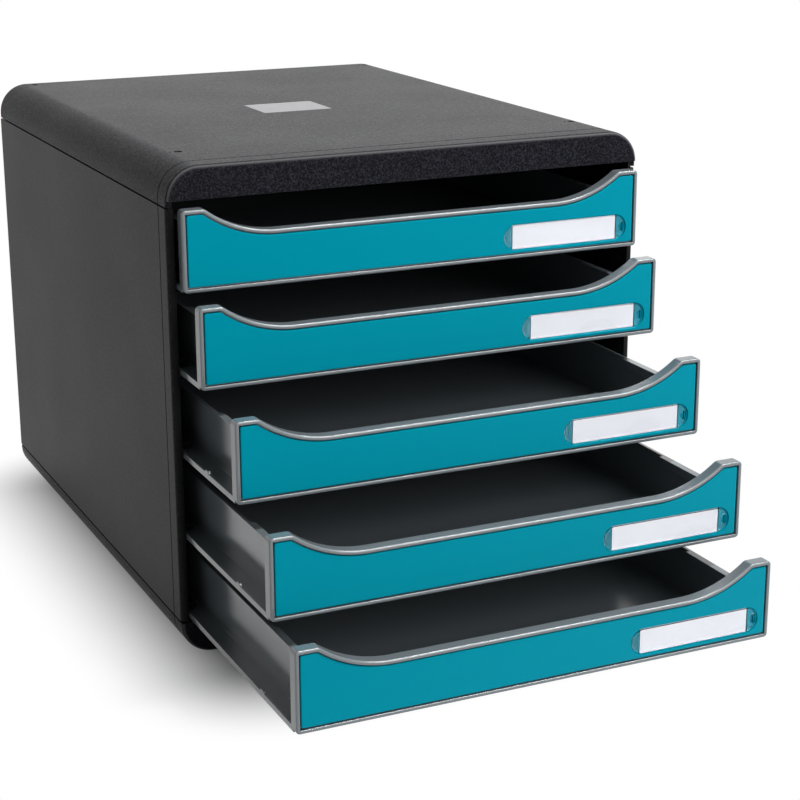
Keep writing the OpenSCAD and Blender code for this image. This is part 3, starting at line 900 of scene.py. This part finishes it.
@dataclass
class Drawer:
    """A drawer: tray with its moulded front frame, teal insert, clear label window and card."""

    sizes: DrawerSizes
    brace: Point = (4.3, 58.0, 5.0)
    tray: float = 2.0
    lip: Pair = (1.8, 3.3)
    bump_y: Pair = (42.2, 48.6)
    bump: Pair = (1.3, 1.7)
    lug: Point = (126.0, 241.8, 5.0)
    lug_h: float = 1.5
    sunk: float = 0.3
    floor_r: float = 1.6
    window: Pair = (0.3, 1.1)
    lip_bevel: float = 0.5
    lip_flare: float = 0.9
    bed_x: Pair = (-33.1, 32.9)
    bed: Pair = (6.8, 0.45)
    end_grooves: Pair = (-33.3, 32.5)
    end_groove: Point = (0.6, 0.4, 6.7)
    hollow: Point = (3.2, 1.4, 2.6)
    notch: Pair = (1.0, 2.8)
    grip_at: Pair = (2.0, 1.2)
    grip: Pair = (0.25, 0.22)
    grip_halves: Point = (2.4, 3.4, 4.0)
    fit: Pair = (0.03, 0.1)
    soft: float = 0.35
    window_soft: float = 0.18

    def sweep_section(self, piece: Workpiece, section: Section, d: float) -> Workpiece:
        """Sweeps a section round the scooped outline, drawn in by d, and mirrors it.

        Args: piece: the new piece; section: (inward, back) points, open at both ends; d: in mm.
        Returns: the piece, a closed ring.
        """
        s = self.sizes
        scoop_z = s.sweep[1] - s.scoop_r - d
        points = [Vector((0, back, scoop_z - inward)) for inward, back in section]
        piece.chain(points[0], [b - a for a, b in zip(points, points[1:])])
        piece.pick_all()
        corner = max(s.corner_r - d, 1.0)
        outer = s.side - d
        slope = math.degrees(math.atan2(*RAMP))
        piece.extrude(x=s.scoop_half)
        piece.spin(s.sweep, -slope, SWEEP_STEPS)
        piece.spin(s.shoulder, slope, CORNER_STEPS)
        piece.extrude(x=outer - corner - s.shoulder[0])
        piece.spin((outer - corner, s.height - d - corner), 90, CORNER_STEPS)
        piece.extrude(z=-(s.height - 2 * (d + corner)))
        piece.spin((outer - corner, d + corner), 90, CORNER_STEPS)
        piece.extrude(x=-(outer - corner))
        piece.tidy()
        piece.modify("MIRROR", use_mirror_merge=True, merge_threshold=SEAM * MM)
        return piece

    @staticmethod
    def close(piece: Workpiece, *backs: float) -> None:
        """Fills a swept ring's open loops, each at its distance back, with flat faces."""
        for back in backs:
            piece.pick("edges", lambda e: e.is_boundary
                       and all(abs(v.co.y / MM - back) < CLOSE / 2 for v in e.verts))
            bpy.ops.mesh.edge_face_add()
        piece.tidy()

    def make_front_frame(self) -> Workpiece:
        """Makes the moulded frame with its web. Returns: the piece."""
        s = self.sizes
        web_back = s.web_y + s.web
        inner, outer, rear = s.rim_rounds
        section = rounded([(s.rim, s.web_y, 0), (s.rim, 0, inner), (0, 0, outer), (0, s.frame, rear),
                           (s.rim, s.frame, rear), (s.rim, web_back, 0)])
        front = self.sweep_section(Workpiece("front_frame"), section, 0)
        self.close(front, s.web_y, web_back)
        return front

    def make_tray(self) -> Workpiece:
        """Makes the tray: floor, walls, flanges, lips, braces, bumps and stop lugs. Returns: the piece."""
        s = self.sizes
        wall_in = s.wall_x - self.tray
        start = s.web_y + s.web / 2
        lip_w, lip_h = self.lip
        tray = Workpiece("tray").box((-s.side, start, 0), (s.side, s.length, self.tray))
        tray.cut(x=[-s.side + lip_w, s.side - lip_w, -s.wall_x, s.wall_x, -wall_in, wall_in],
                 y=[s.length - self.tray])
        tray.pick_faces(lambda c, n: n.z > 0.9 and abs(c.x) > s.side - lip_w)
        tray.extrude(z=lip_h - self.tray)
        tray.pick_faces(lambda c, n: n.z > 0.9 and abs(c.x) < s.wall_x and c.z < self.tray + CLOSE
                        and (abs(c.x) > wall_in or c.y > s.length - self.tray))
        tray.extrude(z=s.wall_h - self.tray)
        brace_w, brace_end, brace_h = self.brace
        tray.cut(y=[brace_end], z=[s.wall_h - brace_h])
        for side in (-1, 1):
            tray.pick_faces(lambda c, n: n.x * side < -0.9 and c.x * side > wall_in - 1
                            and c.y < brace_end and c.z > s.wall_h - brace_h)
            tray.extrude(x=-side * (brace_w - self.tray))
        tray.tidy()
        tray.pick_edges(lambda a, b: all(abs(p.z - self.tray) < CLOSE and abs(abs(p.x) - wall_in) < CLOSE
                                         for p in (a, b)) and abs(a.y - b.y) > 1)
        tray.bevel(self.floor_r, 4)
        lug_x, lug_y, lug = self.lug
        bump_h, bump_slope = self.bump
        tray.twins((lug_x, lug_y, self.tray - self.sunk), (lug_x + lug, lug_y + lug, lip_h + self.lug_h))
        tray.twins((s.side - lip_w, self.bump_y[0], lip_h - self.sunk),
                   (s.side, self.bump_y[1], lip_h + bump_h))
        for place, shift in zip(self.bump_y, (bump_slope, -bump_slope)):
            tray.pick_points(lambda p: abs(p.y - place) < CLOSE and p.z > lip_h + 1
                             and abs(p.x) > s.side - lip_w - 1)
            tray.move(y=shift)
        tray.soften(self.soft, 40)
        return tray

    def stadium(self, name: str, gap: float, y0: float, y1: float) -> Workpiece:
        """A slot-shaped block, drawn in by a gap, from y0 back to y1. Returns: the piece."""
        (length, height), (x, z) = self.sizes.label, self.sizes.label_at
        block = Workpiece(name).box((x - length / 2 + gap, y0, z - height / 2 + gap),
                                    (x + length / 2 - gap, y1, z + height / 2 - gap))
        block.pick_edges(lambda a, b: abs(a.y - b.y) > 0.1)
        block.bevel(height / 2 - gap - 0.01, 14)
        return block

    def make_insert(self) -> Workpiece:
        """Makes the teal insert with the label's stepped pocket. Returns: the piece."""
        s = self.sizes
        rear = s.insert_y + s.insert
        turn, (front_r, rear_r) = s.insert_turn, s.insert_rounds
        section = rounded([(turn, s.insert_y, 0), (0, s.insert_y, front_r), (0, rear, rear_r),
                           (turn, rear, 0)], 3)
        insert = self.sweep_section(Workpiece("insert"), section, s.rim + s.insert_gap)
        self.close(insert, s.insert_y, rear)
        floor = s.insert_y + sum(self.window)
        x, z = s.label_at
        right = x + s.label[0] / 2
        near, far, hollow = self.hollow
        bed, bed_depth = self.bed
        width, sunk, half = self.end_groove
        flare = self.stadium("flare", self.lip_bevel - self.lip_flare, -1, s.insert_y + self.lip_flare)
        flare.pick_edges(lambda a, b: min(a.y, b.y) > s.insert_y + self.lip_flare - CLOSE)
        flare.bevel(self.lip_flare, 1)
        insert.carve(flare)
        insert.carve(self.stadium("pocket", self.lip_bevel + self.fit[0], 0.2, floor))
        insert.carve(Workpiece("card_bed").box((x + self.bed_x[0], s.insert_y + self.window[0], z - bed),
                                               (x + self.bed_x[1], floor + bed_depth, z + bed)))
        for end in self.end_grooves:
            insert.carve(Workpiece("end_groove").box((x + end, floor - sunk, z - half),
                                                     (x + end + width, rear - 0.2, z + half)))
        insert.carve(Workpiece("finger_hollow").box((right - near, floor - sunk, z - hollow),
                                                    (right - far, rear - self.sunk, z + hollow)))
        return insert

    def make_window(self) -> Workpiece:
        """Makes the clear window with its finger notch and grip ribs. Returns: the piece."""
        s = self.sizes
        fit = self.fit[1]
        front, rear = s.insert_y + self.window[0], s.insert_y + sum(self.window) - fit
        window = self.stadium("window", self.lip_bevel + fit, front, rear)
        (middle, z), (length, _), (notch_x, notch_r) = s.label_at, s.label, self.notch
        notch_at = (middle + length / 2 - notch_x, (front + rear) / 2, z)
        window.carve(Workpiece("notch").disc(notch_at, notch_r, 3.0, "Y"))
        (first, step), (wide, proud) = self.grip_at, self.grip
        for k, half in enumerate(self.grip_halves):
            x = middle - length / 2 + first + step * k
            window.box((x - wide, front - proud, z - half), (x + wide, front + fit, z + half))
        window.soften(self.window_soft, 50)
        return window

    def build(self, places: Sequence[Pair]) -> None:
        """Makes each moulding once and copies it into every drawer.

        Args: places: each drawer's origin (back, up), from the top drawer down, in mm.
        """
        tray = self.make_tray()
        tray.take(self.make_front_frame())
        masters = (("tray", tray, Palette.TRAY), ("fascia", self.make_insert(), Palette.FRONT),
                   ("label_window", self.make_window(), Palette.WINDOW))
        for number, place in enumerate(places, 1):
            body = f"drawer_{number}"
            shift = Matrix.Translation(Vector((0, *place)) * MM)
            for part, master, finish in masters:
                piece = master.copy(f"{body}_{part}_moulding", shift)
                piece.hand_over(finish, body, f"{body}_{part}")
            Palette.CARD.paint(frame["nodes"][f"{body}_label_card"])
        for _, master, _ in masters:
            master.discard()


# ---- studio


@dataclass(frozen=True)
class Lamp:
    """A soft area lamp: place, target and its two sides in metres, and its power in watts."""

    name: str
    at: Point
    target: Point
    sides: Pair
    power: float

    def hang(self) -> None:
        """Adds the lamp, unseen by the camera."""
        data = bpy.data.lights.new(self.name, "AREA")
        data.shape = "RECTANGLE"
        data.size, data.size_y = self.sides
        data.energy = self.power
        lamp = bpy.data.objects.new(self.name, data)
        lamp.visible_camera = False
        aim = (Vector(self.target) - Vector(self.at)).to_track_quat("-Z", "Y")
        lamp.matrix_world = Matrix.Translation(self.at) @ aim.to_matrix().to_4x4()
        bpy.context.scene.collection.objects.link(lamp)


@dataclass
class Studio:
    """Camera, floor, backdrop and lights."""

    eye: Point = (-0.43710, -1.09527, 0.44036)
    azimuth: float = -24.912
    elevation: float = 16.884
    roll: float = -0.207
    focal_px: float = 1925.56
    image_px: float = 800.0
    sensor: float = 36.0
    floor_size: float = 12.0
    floor_tint: Pair = (0.7, 1.0)
    foot_centre: Point = (0.0, -0.03, 0.0)
    foot_half: Point = (0.1, 0.16, 0.0)
    fade: Pair = (0.0, 0.1)
    ambient: float = 0.112
    lamps: tuple[Lamp, ...] = (Lamp("key", (0.6, -1.9, 1.0), (0, -0.15, 0.15), (1.1, 1.1), 23.5),
                               Lamp("over", (0.8, -0.7, 1.62), (0.8, -0.2, 0.15), (0.9, 0.2), 36),
                               Lamp("rear", (0.7, 1.5, 0.85), (0, 0, 0.27), (1.0, 1.0), 1.6))

    def camera(self) -> None:
        """Puts the camera where the photograph was taken from."""
        data = bpy.data.cameras.new("view")
        data.sensor_width = self.sensor
        data.lens = self.focal_px / self.image_px * self.sensor
        data.clip_start, data.clip_end = 0.05, 20
        camera = bpy.data.objects.new("view", data)
        camera.matrix_world = Matrix.Translation(self.eye)
        for angle, axis in ((self.azimuth, "Z"), (90 - self.elevation, "X"), (self.roll, "Z")):
            camera.matrix_world @= Matrix.Rotation(math.radians(angle), 4, axis)
        bpy.context.scene.collection.objects.link(camera)
        bpy.context.scene.camera = camera

    def floor(self) -> None:
        """Lays a pale floor that keeps the box's shadow and fades to plain white away from it."""
        Workpiece.clear()
        bpy.ops.mesh.primitive_plane_add(size=self.floor_size, location=(0, 0, 0))
        floor = bpy.context.object
        floor.name = "floor"
        material = bpy.data.materials.new("floor_pale")
        nodes = Nodes(material)
        pale = nodes.add("ShaderNodeBsdfDiffuse")
        nodes.join(nodes.ranged(nodes.seen(), "Value", 0.0, 1.0, *self.floor_tint), "Result", pale, "Color")
        last, out = nodes.add("ShaderNodeTexCoord"), "Object"
        for step, second in (("SUBTRACT", self.foot_centre), ("ABSOLUTE", None), ("SUBTRACT", self.foot_half),
                             ("MAXIMUM", (0.0, 0.0, 0.0)), ("LENGTH", None)):
            node = nodes.add("ShaderNodeVectorMath", {1: second} if second else None, operation=step)
            nodes.join(last, out, node, 0)
            last, out = node, "Vector"
        fade = nodes.ranged(last, "Value", *self.fade)
        fade.interpolation_type = "SMOOTHSTEP"
        far = nodes.math("MULTIPLY", fade, "Result")
        nodes.join(nodes.seen(), "Value", far, 1)
        mix = nodes.add("ShaderNodeMixShader")
        nodes.join(far, "Value", mix, 0)
        nodes.join(pale, "BSDF", mix, 1)
        nodes.join(nodes.add("ShaderNodeEmission"), "Emission", mix, 2)
        nodes.join(mix, "Shader", nodes.add("ShaderNodeOutputMaterial"), "Surface")
        floor.data.materials.append(material)

    def world(self) -> None:
        """A white background for the camera and reflections, and a dimmer even light for the rest."""
        world = bpy.data.worlds.new("studio")
        nodes = Nodes(world)
        background = nodes.add("ShaderNodeBackground", {"Color": (1.0, 1.0, 1.0, 1.0)})
        strength = nodes.ranged(nodes.seen(), "Value", 0.0, 1.0, self.ambient, 1.0)
        nodes.join(strength, "Result", background, "Strength")
        nodes.join(background, "Background", nodes.add("ShaderNodeOutputWorld"), "Surface")
        bpy.context.scene.world = world

    def build(self) -> None:
        """Sets up the whole studio."""
        self.camera()
        self.floor()
        for lamp in self.lamps:
            lamp.hang()
        self.world()
        bpy.context.scene.view_settings.view_transform = "Standard"


# ---- assembly


@dataclass
class FileBox:
    """The whole box: cabinet, five drawers and the pieces that stay as the CAD has them."""

    cabinet: CabinetSizes = field(default_factory=CabinetSizes)
    drawer: DrawerSizes = field(default_factory=DrawerSizes)
    opens: tuple[float, ...] = (9.0, 31.4, 79.3, 121.9, 152.1)
    stack_gap: float = 2.2
    stack_spare: float = 2.8

    def drawer_heights(self) -> list[float]:
        """Heights of the drawers' undersides, from the top drawer down."""
        c = self.cabinet
        base, count = c.foot + c.base_cap, len(self.opens)
        pitch = (c.height - c.top_cap + c.front_rise - base - self.stack_spare) / count
        return [base + self.stack_gap + (count - 1 - k) * pitch for k in range(count)]

    def build(self) -> None:
        """Builds and dresses every piece."""
        cover = Cover(self.cabinet)
        cover.build("top_cover", True)
        cover.build("base_cover", False)
        cover.build_plate()
        heights = self.drawer_heights()
        SidePanel(self.cabinet, heights).build()
        places = [(-self.cabinet.back - pulled, z) for pulled, z in zip(self.opens, heights)]
        Drawer(self.drawer).build(places)
        Palette.PANEL.paint(frame["nodes"]["back_panel"])
        Palette.FEET.paint(frame["nodes"]["feet"])


def main() -> None:
    """Builds the box and the studio."""
    logging.basicConfig(level=logging.INFO, format="%(name)s: %(message)s")
    FileBox().build()
    Studio().build()


if __name__ == "__main__":
    main()
